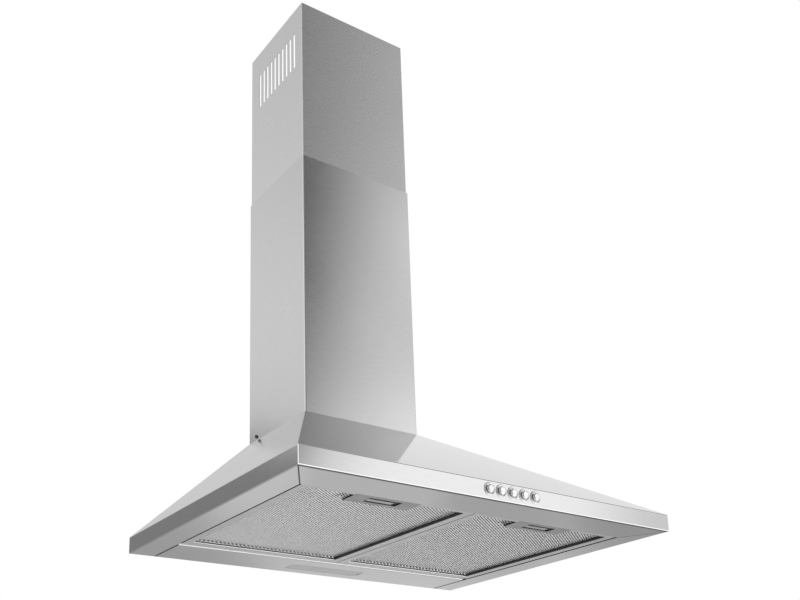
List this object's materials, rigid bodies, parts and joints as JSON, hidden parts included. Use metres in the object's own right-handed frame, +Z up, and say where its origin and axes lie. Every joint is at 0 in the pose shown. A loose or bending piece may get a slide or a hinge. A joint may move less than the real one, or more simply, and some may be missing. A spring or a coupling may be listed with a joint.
{
  "type": "range hood",
  "caption": "Wall-mounted chimney range hood: pyramid canopy with push buttons, drop-down mesh grease filters, lamp, blower, flapped duct outlet and telescopic chimney cover.",
  "frame": {"origin": "middle of the canopy's bottom rear edge, on the wall plane", "axes": "+X to the right seen from the front, +Y into the wall, +Z up"},
  "size_m": [0.6, 0.484, 0.92],
  "materials": {
    "stainless": "brushed stainless sheet, satin",
    "galvanised_steel": "zinc-coated sheet",
    "chrome_trim": "polished chrome",
    "button_chrome": "satin chrome",
    "filter_aluminium": "mill-finish aluminium",
    "spring_steel": "drawn steel wire and rod",
    "zinc_screws": "zinc-plated",
    "black_screws": "black-oxide",
    "black_plastic": "moulded, fine grain",
    "white_plastic": "moulded, matt",
    "motor_paint": "dark enamel",
    "frosted_lens": "frosted",
    "black_rubber": "matt",
    "lead_sheath": "flexible sheath"
  },
  "bodies": {
    "canopy": {"canopy_front_panel": "stainless", "canopy_left_panel": "stainless", "canopy_right_panel": "stainless", "lamp_panel": "stainless", "lower_chimney": "stainless", "canopy_back_plate": "galvanised_steel", "top_frame": "galvanised_steel", "motor_bracket": "galvanised_steel", "button_bezels": "chrome_trim", "filter_rail": "filter_aluminium", "button_off_spring": "spring_steel", "button_speed_1_spring": "spring_steel", "button_speed_2_spring": "spring_steel", "button_speed_3_spring": "spring_steel", "button_light_spring": "spring_steel", "flap_pin": "spring_steel", "deck_screws": "zinc_screws", "outlet_screws": "zinc_screws", "lamp_panel_screws": "zinc_screws", "chimney_screws": "black_screws", "blower_housing_left": "black_plastic", "blower_housing_right": "black_plastic", "inlet_grille": "black_plastic", "switch_housing": "black_plastic", "outlet_collar": "black_plastic", "chimney_guides": "black_plastic", "terminal_box": "white_plastic", "terminal_box_cover": "white_plastic", "lamp_housing": "white_plastic", "led_board": "white_plastic", "capacitor": "white_plastic", "motor": "motor_paint", "mains_grommet": "black_rubber", "switch_cable": "lead_sheath", "motor_cable": "lead_sheath", "lamp_cable": "lead_sheath"},
    "button_off": {"button_off": "button_chrome"},
    "button_speed_1": {"button_speed_1": "button_chrome"},
    "button_speed_2": {"button_speed_2": "button_chrome"},
    "button_speed_3": {"button_speed_3": "button_chrome"},
    "button_light": {"button_light": "button_chrome"},
    "impeller": {"impeller": "black_plastic", "motor_shaft": "spring_steel"},
    "flap_front": {"flap_front": "black_plastic"},
    "flap_rear": {"flap_rear": "black_plastic"},
    "filter_left": {"filter_left_frame": "filter_aluminium", "filter_left_mesh": "filter_aluminium", "filter_left_core": "filter_aluminium", "filter_left_latch_housing": "filter_aluminium", "filter_left_latch_spring": "spring_steel"},
    "latch_left": {"filter_left_latch": "filter_aluminium"},
    "filter_right": {"filter_right_frame": "filter_aluminium", "filter_right_mesh": "filter_aluminium", "filter_right_core": "filter_aluminium", "filter_right_latch_housing": "filter_aluminium", "filter_right_latch_spring": "spring_steel"},
    "latch_right": {"filter_right_latch": "filter_aluminium"},
    "chimney_upper": {"upper_chimney": "stainless", "chimney_bracket": "galvanised_steel"},
    "lens": {"lamp_lens": "frosted_lens"}
  },
  "joints": [
    {"name": "button_off_press", "type": "slide", "parent": "canopy", "child": "button_off", "axis": [0, 1, 0], "range_m": [0, 0.0035], "stiffness_N_per_m": 400, "deforming": ["button_off_spring"]},
    {"name": "button_speed_1_press", "type": "slide", "parent": "canopy", "child": "button_speed_1", "axis": [0, 1, 0], "range_m": [0, 0.0035], "stiffness_N_per_m": 400, "deforming": ["button_speed_1_spring"]},
    {"name": "button_speed_2_press", "type": "slide", "parent": "canopy", "child": "button_speed_2", "axis": [0, 1, 0], "range_m": [0, 0.0035], "stiffness_N_per_m": 400, "deforming": ["button_speed_2_spring"]},
    {"name": "button_speed_3_press", "type": "slide", "parent": "canopy", "child": "button_speed_3", "axis": [0, 1, 0], "range_m": [0, 0.0035], "stiffness_N_per_m": 400, "deforming": ["button_speed_3_spring"]},
    {"name": "button_light_press", "type": "slide", "parent": "canopy", "child": "button_light", "axis": [0, 1, 0], "range_m": [0, 0.0035], "stiffness_N_per_m": 400, "deforming": ["button_light_spring"]},
    {"name": "impeller_spin", "type": "hinge", "parent": "canopy", "child": "impeller", "pos_m": [0, -0.1155, 0.117], "axis": [1, 0, 0], "continuous": true},
    {"name": "flap_front_swing", "type": "hinge", "parent": "canopy", "child": "flap_front", "pos_m": [0, -0.08, 0.235], "axis": [-1, 0, 0], "range_deg": [0, 75]},
    {"name": "flap_rear_swing", "type": "hinge", "parent": "canopy", "child": "flap_rear", "pos_m": [0, -0.08, 0.235], "axis": [1, 0, 0], "range_deg": [0, 75]},
    {"name": "filter_left_tilt", "type": "hinge", "parent": "canopy", "child": "filter_left", "pos_m": [-0.13, -0.088, 0.006], "axis": [1, 0, 0], "range_deg": [0, 45]},
    {"name": "latch_left_slide", "type": "slide", "parent": "filter_left", "child": "latch_left", "axis": [0, -1, 0], "range_m": [0, 0.0045], "stiffness_N_per_m": 300, "springref_m": 0.0045, "deforming": ["filter_left_latch_spring"]},
    {"name": "filter_right_tilt", "type": "hinge", "parent": "canopy", "child": "filter_right", "pos_m": [0.13, -0.088, 0.006], "axis": [1, 0, 0], "range_deg": [0, 45]},
    {"name": "latch_right_slide", "type": "slide", "parent": "filter_right", "child": "latch_right", "axis": [0, -1, 0], "range_m": [0, 0.0045], "stiffness_N_per_m": 300, "springref_m": 0.0045, "deforming": ["filter_right_latch_spring"]},
    {"name": "chimney_extend", "type": "slide", "parent": "canopy", "child": "chimney_upper", "axis": [0, 0, 1], "range_m": [-0.27, 0.09]},
    {"name": "lens_release", "type": "slide", "parent": "canopy", "child": "lens", "axis": [0, 0, -1], "range_m": [0, 0.03]}
  ]
}
